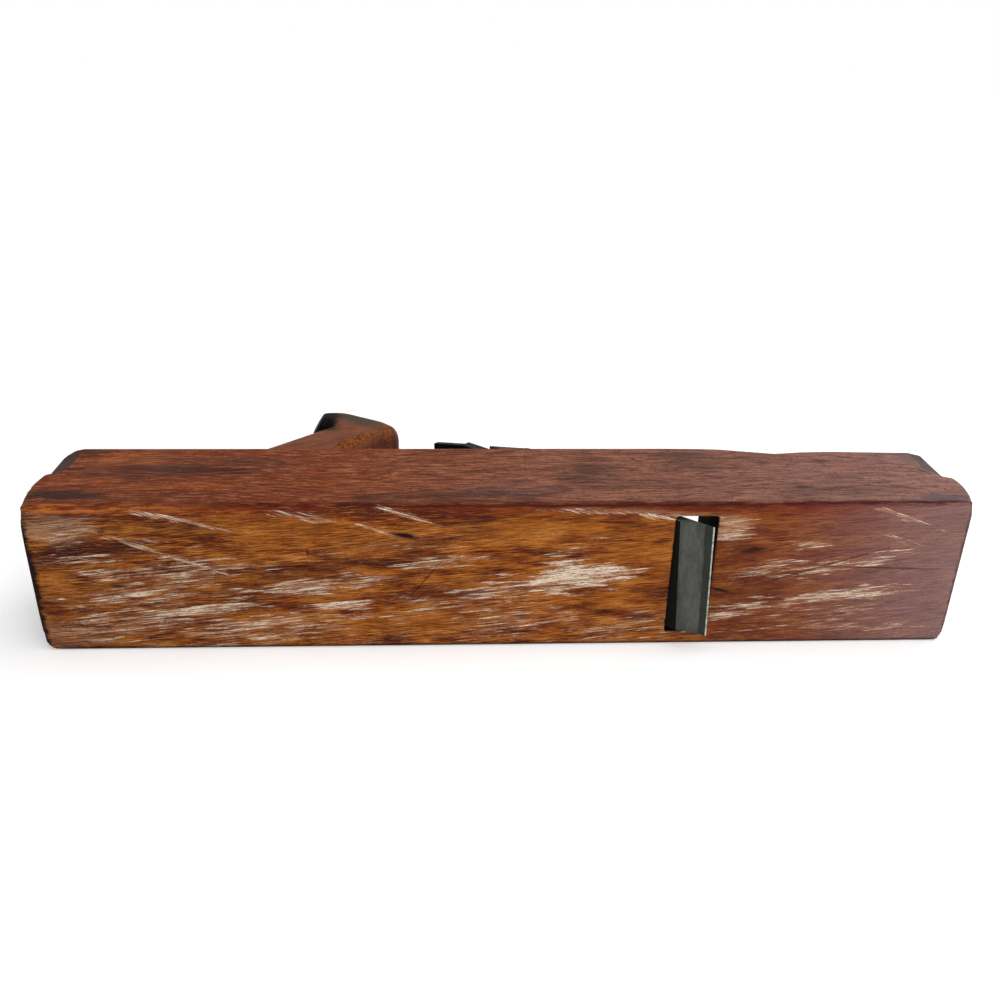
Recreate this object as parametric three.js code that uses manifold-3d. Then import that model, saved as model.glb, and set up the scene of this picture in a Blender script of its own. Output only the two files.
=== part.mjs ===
// Wooden jack plane with a double iron, put down on its left cheek as it is between uses.
// Millimetres. +X runs to the toe, +Y from the sole to the top of the stock and +Z from the
// left cheek to the right one. The origin is the middle of the left cheek.
import * as THREE from 'three';
import { mergeVertices } from 'three/addons/utils/BufferGeometryUtils.js';
import Module from 'manifold-3d';

const wasm = await Module();
wasm.setup();

// Stock: a block 17 inches long and 3 inches wide
const stockLength = 430;
const stockWidth = 76.2;
const stockHeight = 68;
const leftCornerRounding = 6.5;
const rightCornerRounding = 2;
const heelTopRounding = 15;
const toeTopRounding = 5;
const toeSoleRounding = 6;
const soleEasing = 1;

// The ends swell a little between the cheeks, the toe more than the heel
const heelSwell = 1.2;
const toeSwell = 2;
const swellRun = 20;
const swellRounding = 100;

// Chamfers along the top and up the four corners, the latter stopped with a gouge
const topChamfer = 5.5;
const cornerChamferAlong = 8.6;
const cornerChamferAcross = 3;
const heelStopHeight = 32;
const toeStopHeight = 26;
const gougeRadius = 11;

// Wear of the right top arris towards the toe, where the other hand holds the stock
const wearRun = 135;
const wearAtToe = 5.5;
const wearDip = 4.5;
const wearDipFromToe = 79;
const wearDipSpread = 16;

// Throat
const bedAngle = 45;
const toteNoseToMouth = 132.1;
const mouthGape = 19.5;
const throatWidth = 62.4;
const abutmentWidth = 7;
const abutmentEaseLength = 10;
const abutmentEaseDepth = 0.8;
const wearHeight = 14;
const frontWallLean = 4;
const frontWallFlare = 9;
const frontWallFlareHeight = 18;
const grooveWidth = 25.4;
const grooveDepth = 8;
const grooveEndMargin = 1;

// Cutting iron: tapered, 2 1/4 inches wide, set rank and a little askew
const ironWidth = 57;
const ironLength = 176;
const ironEdgeThickness = 5;
const ironTopThickness = 3.2;
const ironProtrusion = 8.9;
const ironShift = 0.8;
const ironSkew = 1.65;
const grindAngle = 21;
const edgeOutOfSquare = 1;
const shoulderLength = 23;
const shoulderDepth = 5;
const slotWidth = 11;
const slotEndMargin = 0.6;
const keyholeMargin = 24;
const keyholeDiameter = 21;

// Cap iron with its threaded boss and screw, drawn back from the cutting edge
const capLength = 141;
const capWidth = 55.6;
const capThickness = 3.1;
const capSetback = 21.5;
const capEdgeThickness = 0.6;
const capForward = 20;
const capBackward = 5;
const humpLength = 22;
const humpRise = 2.3;
const capCornerCut = 7;
const screwFromCapEdge = 56;
const bossDiameter = 20;
const bossHeight = 6.5;
const bossEasing = 1.5;
const spigotDiameter = 12;
const shankDiameter = 8;
const headDiameter = 19;
const headHeight = 4.4;
const headEasing = 0.8;
const screwSlotWidth = 2.4;
const screwSlotDepth = 1.8;
const screwTipStand = 1.5;

// Wedge: two legs below, a battered head above
const wedgeTaper = 8.5;
const wedgeWidth = 58;
const wedgeHeadPlace = 143;
const wedgeHeadSlant = 57;
const wedgeHeadThickness = 12.7;
const wedgeTipThickness = 1.6;
const wedgeHeadRounding = 5;
const wedgeHeelRounding = 0.8;
const legGap = 26;
const legGapMargin = 2;

// Open tote
const toteThickness = 36;
const toteOffset = 6;
const toteSideRounding = 9;
const toteOutlineRounding = 5.5;
const heelToToteNose = 159.9;
const gripLean = 45;
const gripDepth = 32.7;
const noseFootRise = 55.4;
const noseFaceHeight = 6.2;
const browBack = 8;
const browRise = 70.3;
const crownBack = 31.5;
const crownRise = 85;
const hornBack = 50;
const hornUnderRise = 67.5;
const tongueRise = 5;
const tongueBack = 5.5;
const tailBack = 117.5;
const tailRise = 3;
const fingerRounding = 13;
const noseRounding = 7;
const hornRounding = 10;
const hornBevelAlong = 6.2;
const hornBevelAcross = 9.6;
const browRounding = 14;
const crownRounding = 20;
const webRounding = 3.6;
const tailSweep = 28;
const edgeRounding = 6.2;
const mortiseDepth = 16;
const footStand = 2;

// Clearances and drawing values
const bedGap = 0.3;
const seatGap = 0.3;
const wedgeGap = 0.3;
const mortiseGap = 0.3;
const threadGap = 0.3;
const overrun = 5;
const arcSteps = 8;
const wearStations = 32;

const soleY = -stockHeight / 2;
const topY = stockHeight / 2;
const heelX = -stockLength / 2;
const toeX = stockLength / 2;
const middleZ = stockWidth / 2;
const toteNose = heelX + heelToToteNose;
const mouthRear = toteNose + toteNoseToMouth;

const rad = THREE.MathUtils.degToRad;
const alongX = [[0, 1, 0], [0, 0, 1], [1, 0, 0]];
const alongY = [[0, 0, 1], [1, 0, 0], [0, 1, 0]];
const alongZ = [[1, 0, 0], [0, 1, 0], [0, 0, 1]];

// A closed outline whose corners [x, y, radius] are rounded by tangent arcs.
function outline(corners) {
  const shape = new THREE.Shape();
  corners.forEach(([x, y, radius = 0], index) => {
    const corner = new THREE.Vector2(x, y);
    const last = corners.at(index - 1);
    const next = corners[(index + 1) % corners.length];
    const back = new THREE.Vector2(last[0], last[1]).sub(corner).normalize();
    const ahead = new THREE.Vector2(next[0], next[1]).sub(corner).normalize();
    const half = Math.acos(THREE.MathUtils.clamp(back.dot(ahead), -1, 1)) / 2;
    const reach = radius / Math.tan(half);
    const start = corner.clone().addScaledVector(back, reach);
    const end = corner.clone().addScaledVector(ahead, reach);
    if (index === 0) shape.moveTo(start.x, start.y);
    else shape.lineTo(start.x, start.y);
    if (radius === 0) return;
    const centre = back.clone().add(ahead).normalize().multiplyScalar(radius / Math.sin(half));
    centre.add(corner);
    const from = start.clone().sub(centre).angle();
    const to = end.clone().sub(centre).angle();
    const clockwise = back.cross(ahead) > 0;
    shape.absarc(centre.x, centre.y, radius, from, to, clockwise);
  });
  return shape;
}

// A prism of an outline from one place to another along an axis.
function prism(shape, low, high, axes = alongZ) {
  const geometry = new THREE.ExtrudeGeometry(shape, {
    depth: high - low,
    bevelEnabled: false,
    curveSegments: arcSteps,
  });
  geometry.translate(0, 0, low);
  const [u, v, w] = axes.map((axis) => new THREE.Vector3(...axis));
  return geometry.applyMatrix4(new THREE.Matrix4().makeBasis(u, v, w));
}

// A closed skin over rings of points, as many in each, that turn by the right hand along the row.
function loft(rings) {
  const count = rings[0].length;
  const lastRing = (rings.length - 1) * count;
  const faces = [];
  for (let ring = 0; ring < rings.length - 1; ring += 1) {
    for (let point = 0; point < count; point += 1) {
      const a = ring * count + point;
      const b = ring * count + ((point + 1) % count);
      faces.push(a, b, b + count, a, b + count, a + count);
    }
  }
  for (let point = 1; point < count - 1; point += 1) {
    faces.push(0, point + 1, point);
    faces.push(lastRing, lastRing + point, lastRing + point + 1);
  }
  const geometry = new THREE.BufferGeometry().setFromPoints(rings.flat());
  geometry.setIndex(faces);
  return geometry;
}

function solid(geometry) {
  const bare = geometry.clone();
  bare.deleteAttribute('normal');
  bare.deleteAttribute('uv');
  const merged = mergeVertices(bare);
  return new wasm.Manifold(new wasm.Mesh({
    numProp: 3,
    vertProperties: Float32Array.from(merged.attributes.position.array),
    triVerts: Uint32Array.from(merged.index.array),
  }));
}

function geometryOf(body) {
  const mesh = body.getMesh();
  const geometry = new THREE.BufferGeometry();
  geometry.setAttribute('position', new THREE.BufferAttribute(mesh.vertProperties, 3));
  geometry.setIndex(new THREE.BufferAttribute(mesh.triVerts, 1));
  const faceted = geometry.toNonIndexed();
  faceted.computeVertexNormals();
  return faceted;
}

function piece(name, body, color, roughness, metalness) {
  const material = new THREE.MeshStandardMaterial({ color, roughness, metalness });
  const mesh = new THREE.Mesh(geometryOf(body), material);
  mesh.name = name;
  return mesh;
}

// Frames: the bed, the iron on it and the iron's front face. In each, x runs down to the
// cutting edge, y off the bed towards the toe and z across the stock.
const ironEdge = ironProtrusion / Math.sin(rad(bedAngle))
  + (bedGap + ironEdgeThickness) / Math.tan(rad(bedAngle));
const ironTop = ironEdge - ironLength;
const ironTaper = Math.atan((ironEdgeThickness - ironTopThickness) / ironLength);
const screwPlace = capSetback + screwFromCapEdge;

const plane = new THREE.Group();
const bed = new THREE.Group();
bed.position.set(mouthRear, soleY, 0);
bed.rotation.z = -rad(bedAngle);
plane.add(bed);

const ironFrame = new THREE.Group();
ironFrame.position.set(0, bedGap, middleZ + ironShift);
ironFrame.rotation.y = -rad(ironSkew);
bed.add(ironFrame);

const capFrame = new THREE.Group();
capFrame.position.set(ironEdge, ironEdgeThickness, 0);
capFrame.rotation.z = ironTaper;
ironFrame.add(capFrame);
plane.updateMatrixWorld(true);

// Wedge outline in the cap's frame: its foot on the cap iron, its face on the abutments
const capFace = seatGap + capThickness;
const wedgeFoot = capFace + seatGap;
const wedgeLength = (wedgeHeadThickness - wedgeTipThickness) / Math.tan(rad(wedgeTaper));
const wedgeFaceEnd = -wedgeHeadPlace + wedgeHeadThickness * Math.tan(rad(wedgeHeadSlant));
const wedgeTip = wedgeFaceEnd + wedgeLength;

// The face of the wedge as the stock sees it, as two points in the side view.
function wedgeFace() {
  return [[wedgeTip, wedgeTipThickness], [wedgeFaceEnd, wedgeHeadThickness]].map(([x, y]) => {
    const point = new THREE.Vector3(x, wedgeFoot + y, 0).applyMatrix4(capFrame.matrixWorld);
    return new THREE.Vector2(point.x, point.y);
  });
}

function onBed(x, y) {
  const point = new THREE.Vector3(x, y, 0).applyMatrix4(bed.matrixWorld);
  return [point.x, point.y];
}

function stockBlock() {
  const heel = heelX - heelSwell;
  const toe = toeX + toeSwell;
  const side = outline([
    [heel, soleY, soleEasing],
    [toe, soleY, toeSoleRounding],
    [toe, topY, toeTopRounding],
    [heel, topY, heelTopRounding],
  ]);
  const end = outline([
    [soleY, soleEasing],
    [soleY + soleEasing, 0],
    [topY - topChamfer, 0],
    [topY, topChamfer],
    [topY, stockWidth],
    [soleY + soleEasing, stockWidth],
    [soleY, stockWidth - soleEasing],
  ]);
  const plan = outline([
    [0, heelX, leftCornerRounding],
    [swellRun, heel, swellRounding],
    [stockWidth - swellRun, heel, swellRounding],
    [stockWidth, heelX, rightCornerRounding],
    [stockWidth, toeX, rightCornerRounding],
    [stockWidth - swellRun, toe, swellRounding],
    [swellRun, toe, swellRounding],
    [0, toeX, leftCornerRounding],
  ]);
  return solid(prism(side, 0, stockWidth))
    .intersect(solid(prism(end, heel, toe, alongX)))
    .intersect(solid(prism(plan, soleY, topY, alongY)));
}

// How far the right top arris is gone at a place along the stock.
function arrisLeg(x) {
  const run = THREE.MathUtils.smoothstep(x, toeX - wearRun, toeX);
  const dip = Math.exp(-(((x - toeX + wearDipFromToe) / wearDipSpread) ** 2));
  return topChamfer + wearAtToe * run + wearDip * dip;
}

function wornArris() {
  const low = heelX - overrun;
  const high = toeX + overrun;
  const rings = [];
  for (let station = 0; station <= wearStations; station += 1) {
    const x = THREE.MathUtils.lerp(low, high, station / wearStations);
    const reach = arrisLeg(x) + overrun;
    rings.push([
      new THREE.Vector3(x, topY + overrun, stockWidth + overrun),
      new THREE.Vector3(x, topY - reach, stockWidth + overrun),
      new THREE.Vector3(x, topY + overrun, stockWidth - reach),
    ]);
  }
  return solid(loft(rings));
}

// A chamfer up one corner of the stock, run out at its foot on the round of a gouge. It takes
// more off the cheek than off the end, so it lies nearer to the plane of the cheek.
function stoppedChamfer(x, z, stopHeight) {
  const turn = Math.atan(cornerChamferAcross / cornerChamferAlong);
  const depth = cornerChamferAlong * Math.sin(turn);
  const run = Math.sqrt(gougeRadius ** 2 - (gougeRadius - depth) ** 2);
  const foot = soleY + stopHeight + run;
  const profile = new THREE.Shape();
  profile.moveTo(overrun, foot - run);
  profile.lineTo(0, foot - run);
  profile.absarc(
    gougeRadius - depth,
    foot,
    gougeRadius,
    Math.PI + Math.asin(run / gougeRadius),
    Math.PI,
    true,
  );
  profile.lineTo(-depth, topY + overrun);
  profile.lineTo(overrun, topY + overrun);
  const cutter = prism(profile, -stockWidth / 2, stockWidth / 2);
  const end = Math.sign(x);
  const side = Math.sign(z - middleZ);
  const outward = new THREE.Vector3(end * Math.sin(turn), 0, side * Math.cos(turn));
  const up = new THREE.Vector3(0, 1, 0);
  const across = outward.clone().cross(up);
  const place = new THREE.Matrix4().makeBasis(outward, up, across).setPosition(x, 0, z);
  return solid(cutter.applyMatrix4(place));
}

// The channel that holds iron and wedge, full width between the bed and the abutments, whose
// feet are eased so that the shavings and the hump of the cap iron pass them.
function wedgeChannel() {
  const [tip, head] = wedgeFace();
  const along = head.clone().sub(tip).normalize();
  const off = new THREE.Vector2(along.y, -along.x);
  const foot = onBed(overrun, 0);
  const reach = stockHeight + stockHeight;
  const easeFoot = tip.clone().addScaledVector(off, wedgeGap + abutmentEaseDepth);
  const easeTop = tip.clone().addScaledVector(off, wedgeGap);
  easeTop.addScaledVector(along, abutmentEaseLength);
  const headPoint = easeTop.clone().addScaledVector(along, reach);
  const channel = outline([
    foot,
    easeFoot.toArray(),
    easeTop.toArray(),
    headPoint.toArray(),
    onBed(-reach, 0),
  ]);
  const low = middleZ - throatWidth / 2;
  return solid(prism(channel, low, low + throatWidth));
}

// The opening for the shavings: full width at the mouth, narrower at the top of the stock.
function escapement() {
  const front = mouthRear + mouthGape;
  const lean = front + frontWallLean;
  const rise = stockHeight + overrun;
  const side = outline([
    onBed(overrun, 0),
    [front, soleY - overrun],
    [front, soleY + wearHeight, wearHeight],
    [lean, topY - frontWallFlareHeight, frontWallFlareHeight],
    [lean + frontWallFlare * (1 + overrun / frontWallFlareHeight), topY + overrun],
    onBed(-rise / Math.sin(rad(bedAngle)), 0),
  ]);
  const flare = abutmentWidth * rise / stockHeight;
  const below = abutmentWidth * overrun / stockHeight;
  const half = throatWidth / 2;
  const end = outline([
    [soleY - overrun, middleZ - half - below],
    [topY + overrun, middleZ - half + flare],
    [topY + overrun, middleZ + half - flare],
    [soleY - overrun, middleZ + half + below],
  ]);
  return solid(prism(side, 0, stockWidth)).intersect(solid(prism(end, 0, toeX, alongX)));
}

// The groove down the bed in which the head of the cap screw travels.
function bedGroove() {
  const half = grooveWidth / 2;
  const foot = ironEdge - screwPlace + capForward + half + grooveEndMargin;
  const top = -stockHeight / Math.sin(rad(bedAngle)) - grooveDepth - overrun;
  const plan = outline([
    [middleZ - half, top],
    [middleZ + half, top],
    [middleZ + half, foot, half - soleEasing],
    [middleZ - half, foot, half - soleEasing],
  ]);
  const cutter = prism(plan, -grooveDepth, overrun, alongY);
  return solid(cutter.applyMatrix4(bed.matrixWorld));
}

function toteMortise() {
  const low = middleZ + toteOffset - toteThickness / 2 - mortiseGap;
  const high = low + toteThickness + mortiseGap * 2;
  const hole = outline([
    [toteNose - tailBack - mortiseGap, topY - mortiseDepth],
    [toteNose - tongueBack + mortiseGap, topY - mortiseDepth],
    [toteNose - tongueBack + mortiseGap, topY + overrun],
    [toteNose - tailBack - mortiseGap, topY + overrun],
  ]);
  return solid(prism(hole, low, high));
}

function stock() {
  const corners = [
    stoppedChamfer(heelX, 0, heelStopHeight),
    stoppedChamfer(heelX, stockWidth, heelStopHeight),
    stoppedChamfer(toeX, 0, toeStopHeight),
    stoppedChamfer(toeX, stockWidth, toeStopHeight),
  ];
  const cuts = [wornArris(), ...corners, wedgeChannel(), escapement(), bedGroove(), toteMortise()];
  const body = cuts.reduce((block, cut) => block.subtract(cut), stockBlock());
  return piece('stock', body, 0x8a4b2c, 0.55, 0);
}

// Side view of the tote, from the foot in its mortise round to the tail. Heights are above
// the top of the stock and the two long sides of the grip lean alike.
function toteOutline() {
  const floor = topY - mortiseDepth + mortiseGap;
  const slope = Math.tan(rad(gripLean));
  const gripShift = gripDepth / Math.sin(rad(gripLean));
  const gripFront = (rise) => toteNose - (noseFootRise - rise) / slope;
  const gripRear = (rise) => gripFront(rise) - gripShift;
  return outline([
    [toteNose - tailBack, floor],
    [toteNose - tongueBack, floor],
    [toteNose - tongueBack, topY + tongueRise, edgeRounding],
    [gripFront(tongueRise), topY + tongueRise, fingerRounding],
    [toteNose, topY + noseFootRise, noseRounding],
    [toteNose, topY + noseFootRise + noseFaceHeight, noseRounding],
    [toteNose - browBack, topY + browRise, browRounding],
    [toteNose - crownBack, topY + crownRise, crownRounding],
    [toteNose - hornBack, topY + crownRise, hornRounding],
    [toteNose - hornBack, topY + hornUnderRise, edgeRounding],
    [gripRear(hornUnderRise), topY + hornUnderRise, webRounding],
    [gripRear(tailRise), topY + tailRise, tailSweep],
    [toteNose - tailBack, topY + tailRise, edgeRounding],
  ]);
}

// The flat bevel that takes the round off one side of the horn's back.
function hornBevel(side) {
  const face = middleZ + toteOffset + side * toteThickness / 2;
  const back = toteNose - hornBack;
  const slope = hornBevelAlong / hornBevelAcross;
  const cut = outline([
    [face - side * (hornBevelAcross + overrun), back - slope * overrun],
    [face + side * overrun, back + hornBevelAlong + slope * overrun],
    [face + side * overrun, back - slope * overrun],
  ]);
  const foot = topY + hornUnderRise - webRounding;
  return solid(prism(cut, foot, topY + crownRise + overrun, alongY));
}

function tote() {
  const low = middleZ + toteOffset - toteThickness / 2;
  const grip = new THREE.ExtrudeGeometry(toteOutline(), {
    depth: toteThickness - toteSideRounding * 2,
    bevelThickness: toteSideRounding,
    bevelSize: toteOutlineRounding,
    bevelOffset: -toteOutlineRounding,
    bevelSegments: 5,
    curveSegments: arcSteps,
  });
  grip.translate(0, 0, low + toteSideRounding);
  const foot = outline([
    [toteNose - tailBack, topY - mortiseDepth + mortiseGap],
    [toteNose - tongueBack, topY - mortiseDepth + mortiseGap],
    [toteNose - tongueBack, topY + footStand],
    [toteNose - tailBack, topY + footStand],
  ]);
  const body = solid(grip)
    .add(solid(prism(foot, low, low + toteThickness)))
    .subtract(hornBevel(-1))
    .subtract(hornBevel(1));
  return piece('tote', body, 0x8c5238, 0.5, 0);
}

function ironSection(z) {
  const edge = ironEdge - z * Math.tan(rad(edgeOutOfSquare));
  const heel = edge - ironEdgeThickness / Math.tan(rad(grindAngle));
  return [
    new THREE.Vector3(ironTop, 0, z),
    new THREE.Vector3(heel, 0, z),
    new THREE.Vector3(edge, ironEdgeThickness, z),
    new THREE.Vector3(ironTop, ironTopThickness, z),
  ];
}

function ironSlot() {
  const low = ironEdge - screwPlace + capForward + shankDiameter / 2 + slotEndMargin;
  const high = ironEdge - screwPlace - capBackward - keyholeMargin;
  const half = slotWidth / 2;
  const round = half - seatGap;
  const slot = outline([
    [-half, high],
    [half, high],
    [half, low, round],
    [-half, low, round],
  ]);
  const keyhole = new THREE.Shape().absarc(0, high, keyholeDiameter / 2, 0, Math.PI * 2);
  const through = [-overrun, ironEdgeThickness + overrun, alongY];
  return solid(prism(slot, ...through)).add(solid(prism(keyhole, ...through)));
}

function ironShoulder(side) {
  const half = ironWidth / 2;
  const cut = outline([
    [side * half, ironTop + shoulderLength],
    [side * (half + overrun), ironTop + shoulderLength],
    [side * (half + overrun), ironTop - overrun],
    [side * (half - shoulderDepth * (shoulderLength + overrun) / shoulderLength), ironTop - overrun],
  ]);
  return solid(prism(cut, -overrun, ironEdgeThickness + overrun, alongY));
}

function cuttingIron() {
  const half = ironWidth / 2;
  const body = solid(loft([ironSection(-half), ironSection(half)]))
    .subtract(ironSlot())
    .subtract(ironShoulder(-1))
    .subtract(ironShoulder(1));
  return piece('cutting_iron', body, 0x4c4c4b, 0.5, 0.9);
}

// Side view of the cap iron: flat above, then a hump that brings its edge down on the iron.
function capProfile() {
  const edge = -capSetback;
  const bend = edge - humpLength;
  const crest = edge - humpLength / 2;
  const back = edge - capLength;
  const shape = new THREE.Shape();
  shape.moveTo(back, seatGap);
  shape.lineTo(bend, seatGap);
  shape.quadraticCurveTo(crest, seatGap + humpRise * 2, edge, seatGap);
  shape.lineTo(edge, seatGap + capEdgeThickness);
  shape.quadraticCurveTo(crest + humpLength / 4, capFace + humpRise, crest, capFace + humpRise);
  shape.quadraticCurveTo(crest - humpLength / 4, capFace + humpRise, bend, capFace);
  shape.lineTo(back, capFace);
  return shape;
}

function capIron() {
  const half = capWidth / 2;
  const back = -capSetback - capLength;
  const plan = outline([
    [-half, 0],
    [-half, back + capCornerCut],
    [-half + capCornerCut, back],
    [half - capCornerCut, back],
    [half, back + capCornerCut],
    [half, 0],
  ]);
  const spigot = spigotDiameter / 2 + seatGap;
  const hole = new THREE.Shape().absarc(0, -screwPlace, spigot, 0, Math.PI * 2);
  const high = capFace + humpRise + overrun;
  const body = solid(prism(capProfile(), -half, half))
    .intersect(solid(prism(plan, -overrun, high, alongY)))
    .subtract(solid(prism(hole, -overrun, high, alongY)));
  return piece('cap_iron', body, 0x3d3c3b, 0.55, 0.9);
}

// A turned piece whose profile [radius, height] stands on the cap screw's axis.
function turned(profile) {
  const points = profile.map(([radius, height]) => new THREE.Vector2(radius, height));
  const geometry = new THREE.LatheGeometry(points, arcSteps * 4);
  return geometry.translate(-screwPlace, 0, 0);
}

function capBoss() {
  const bore = shankDiameter / 2 + threadGap;
  const spigot = spigotDiameter / 2;
  const rim = bossDiameter / 2;
  const seat = capFace + seatGap;
  const top = seat + bossHeight;
  const body = solid(turned([
    [bore, seatGap],
    [spigot, seatGap],
    [spigot, seat],
    [rim, seat],
    [rim, top - bossEasing],
    [rim - bossEasing, top],
    [bore, top],
    [bore, seatGap],
  ]));
  return piece('cap_boss', body, 0x8d7440, 0.45, 0.9);
}

function capScrew() {
  const ironThere = ironEdgeThickness - screwPlace * Math.tan(ironTaper);
  const headTop = -ironThere - seatGap - headDiameter / 2 * Math.tan(ironTaper);
  const headFoot = headTop - headHeight;
  const tip = capFace + seatGap + bossHeight + screwTipStand;
  const shank = shankDiameter / 2;
  const head = headDiameter / 2;
  const driver = outline([
    [-head - overrun, headFoot - overrun],
    [head + overrun, headFoot - overrun],
    [head + overrun, headFoot + screwSlotDepth],
    [-head - overrun, headFoot + screwSlotDepth],
  ]);
  const half = screwSlotWidth / 2;
  const slot = prism(driver, -half, half).translate(-screwPlace, 0, 0);
  const body = solid(turned([
    [0, headFoot],
    [head - headEasing, headFoot],
    [head, headFoot + headEasing],
    [head, headTop],
    [shank, headTop],
    [shank, tip - headEasing],
    [shank - headEasing, tip],
    [0, tip],
  ])).subtract(solid(slot));
  return piece('cap_screw', body, 0x50504e, 0.5, 0.9);
}

function legOpening() {
  const half = legGap / 2;
  const top = -screwPlace - bossDiameter / 2 - capBackward - legGapMargin;
  const plan = outline([
    [-half, 0],
    [-half, top, half - seatGap],
    [half, top, half - seatGap],
    [half, 0],
  ]);
  return solid(prism(plan, 0, wedgeFoot + wedgeHeadThickness + overrun, alongY));
}

function wedge() {
  const half = wedgeWidth / 2;
  const side = outline([
    [wedgeTip, wedgeFoot],
    [wedgeTip, wedgeFoot + wedgeTipThickness],
    [wedgeFaceEnd, wedgeFoot + wedgeHeadThickness, wedgeHeadRounding],
    [-wedgeHeadPlace, wedgeFoot, wedgeHeelRounding],
  ]);
  const body = solid(prism(side, -half, half)).subtract(legOpening());
  return piece('wedge', body, 0x7a4b30, 0.6, 0);
}

plane.add(stock(), tote());
ironFrame.add(cuttingIron());
capFrame.add(capIron(), capBoss(), capScrew(), wedge());

export default plane;
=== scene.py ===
import math
import bpy
import numpy as np
from mathutils import Matrix, Vector, noise


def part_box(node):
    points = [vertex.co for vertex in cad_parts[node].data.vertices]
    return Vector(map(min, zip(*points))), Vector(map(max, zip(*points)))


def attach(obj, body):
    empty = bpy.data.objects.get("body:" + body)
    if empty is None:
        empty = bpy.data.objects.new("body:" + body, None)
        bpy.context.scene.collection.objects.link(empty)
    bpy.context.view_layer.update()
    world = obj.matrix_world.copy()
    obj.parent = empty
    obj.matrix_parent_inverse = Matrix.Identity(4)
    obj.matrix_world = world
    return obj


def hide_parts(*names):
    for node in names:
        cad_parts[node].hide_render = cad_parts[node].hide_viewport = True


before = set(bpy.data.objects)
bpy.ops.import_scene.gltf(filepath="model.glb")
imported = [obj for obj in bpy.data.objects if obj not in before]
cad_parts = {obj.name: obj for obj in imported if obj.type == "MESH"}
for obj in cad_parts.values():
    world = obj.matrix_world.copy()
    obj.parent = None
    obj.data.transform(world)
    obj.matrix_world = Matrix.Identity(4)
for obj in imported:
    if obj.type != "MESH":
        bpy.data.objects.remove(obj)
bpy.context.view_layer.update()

scene = bpy.context.scene
print("frame loaded:", len(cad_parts), "nodes")


# small helpers for meshes

def makeActive(piece):
    if bpy.context.object and bpy.context.object.mode != "OBJECT":
        bpy.ops.object.mode_set(mode="OBJECT")
    bpy.ops.object.select_all(action="DESELECT")
    piece.select_set(True)
    bpy.context.view_layer.objects.active = piece


def applyModifiers(piece):
    makeActive(piece)
    for modifier in list(piece.modifiers):
        bpy.ops.object.modifier_apply(modifier=modifier.name)


def copyOfNode(node, name):
    # a welded copy of a CAD node, its flat triangles joined up
    piece = bpy.data.objects.new(name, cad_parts[node].data.copy())
    scene.collection.objects.link(piece)
    piece.data.name = name
    piece.data.materials.clear()
    makeActive(piece)
    bpy.ops.object.mode_set(mode="EDIT")
    bpy.ops.mesh.select_all(action="SELECT")
    bpy.ops.mesh.remove_doubles(threshold=0.000005)
    bpy.ops.mesh.dissolve_limited(angle_limit=math.radians(0.3))
    bpy.ops.object.mode_set(mode="OBJECT")
    return piece


def pointsOf(piece, source="vertices"):
    values = np.empty(len(piece.data.vertices) * 3)
    if source == "vertices":
        piece.data.vertices.foreach_get("co", values)
    else:
        piece.data.vertex_normals.foreach_get("vector", values)
    return values.reshape(-1, 3)


def setPoints(piece, values):
    piece.data.vertices.foreach_set("co", values.ravel())
    piece.data.update()


def neighbourMean(piece, values):
    ends = np.empty(len(piece.data.edges) * 2, dtype=np.int64)
    piece.data.edges.foreach_get("vertices", ends)
    ends = ends.reshape(-1, 2)
    total = np.zeros_like(values)
    count = np.zeros(len(values))
    for here, there in ((0, 1), (1, 0)):
        np.add.at(total, ends[:, here], values[ends[:, there]])
        np.add.at(count, ends[:, here], 1)
    count = np.maximum(count, 1)
    return total / (count[:, None] if values.ndim == 2 else count)


def softSkin(piece, voxel, smoothing):
    # an even skin, whose edges come out softly worn
    skin = piece.modifiers.new("skin", "REMESH")
    skin.mode = "VOXEL"
    skin.voxel_size = voxel
    soft = piece.modifiers.new("soft", "SMOOTH")
    soft.factor = 0.5
    soft.iterations = smoothing
    applyModifiers(piece)


def thinOut(piece, keepTriangles):
    triangles = sum(len(face.vertices) - 2 for face in piece.data.polygons)
    if triangles > keepTriangles:
        lean = piece.modifiers.new("lean", "DECIMATE")
        lean.ratio = keepTriangles / triangles
        applyModifiers(piece)


def storeArris(piece, gain):
    # how convex the skin is, kept as an attribute that the wear reads
    place = pointsOf(piece)
    bulge = ((place - neighbourMean(piece, place)) * pointsOf(piece, "normals")).sum(1) * gain
    for _ in range(3):
        bulge = neighbourMean(piece, bulge)
    layer = piece.data.attributes.new("arris", "FLOAT", "POINT")
    layer.data.foreach_set("value", np.clip(bulge, -1, 1))


def chipArrises(piece, arrises):
    # knocks an arris back here and there: a point and a direction along it, the way in, the depth
    place = pointsOf(piece)
    for arris in arrises:
        start, along, inward = (np.array(arris[key], float) for key in ("start", "along", "inward"))
        along /= np.linalg.norm(along)
        inward /= np.linalg.norm(inward)
        offset = place - start
        offset -= np.outer(offset @ along, along)
        away = np.linalg.norm(offset, axis=1)
        for index in np.nonzero(away < arris["reach"])[0]:
            spot = Vector(place[index])
            knock = noise.noise(spot * arris["pitch"]) + 0.5 * noise.noise(spot * arris["pitch"] * 2.7)
            knock = max(0, knock - arris["rest"])
            fade = (1 - away[index] / arris["reach"]) ** 1.5
            place[index] += inward * min(1, knock * 2) * fade * arris["depth"]
    setPoints(piece, place)


def pressDents(piece, dents):
    # shallow dents: place, radius, depth and the way in
    place = pointsOf(piece)
    for dent in dents:
        centre = np.array(dent["place"])
        stretch = np.array(dent.get("stretch", (1, 1, 1)), float)
        away = np.linalg.norm((place - centre) / stretch, axis=1) / dent["radius"]
        dip = np.clip(1 - away ** 2, 0, 1) ** 2 * dent["depth"]
        place += np.outer(dip, np.array(dent["inward"], float))
    setPoints(piece, place)


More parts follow.
